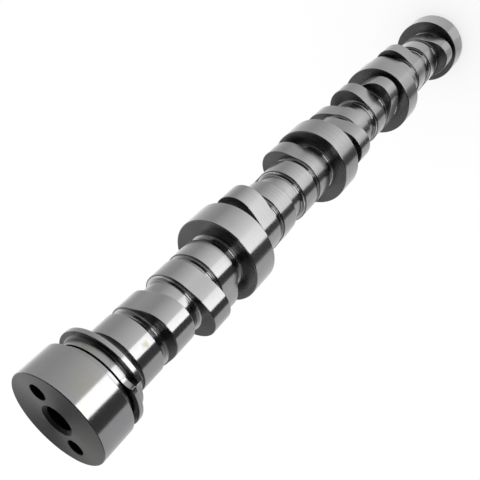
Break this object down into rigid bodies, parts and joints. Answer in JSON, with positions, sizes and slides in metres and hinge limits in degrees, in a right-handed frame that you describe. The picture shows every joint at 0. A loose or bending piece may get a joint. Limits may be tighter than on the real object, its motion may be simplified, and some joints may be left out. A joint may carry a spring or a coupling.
{
  "type": "camshaft",
  "caption": "One-piece engine camshaft with ground bearings, cam lobes in pairs between them, a split sensor ring and a drilled rear face.",
  "frame": {"origin": "middle of the nose's end face, the lowest point of the standing shaft", "axes": "+Z along the shaft from its front (timing) end to its rear end; +X and +Y across it, with the lobes' angles measured from +X towards +Y"},
  "size_m": [0.0549, 0.055, 0.4823],
  "materials": {
    "steel": "ground and turned, satin to bright"
  },
  "bodies": {
    "root": {"camshaft": "steel"}
  },
  "joints": []
}
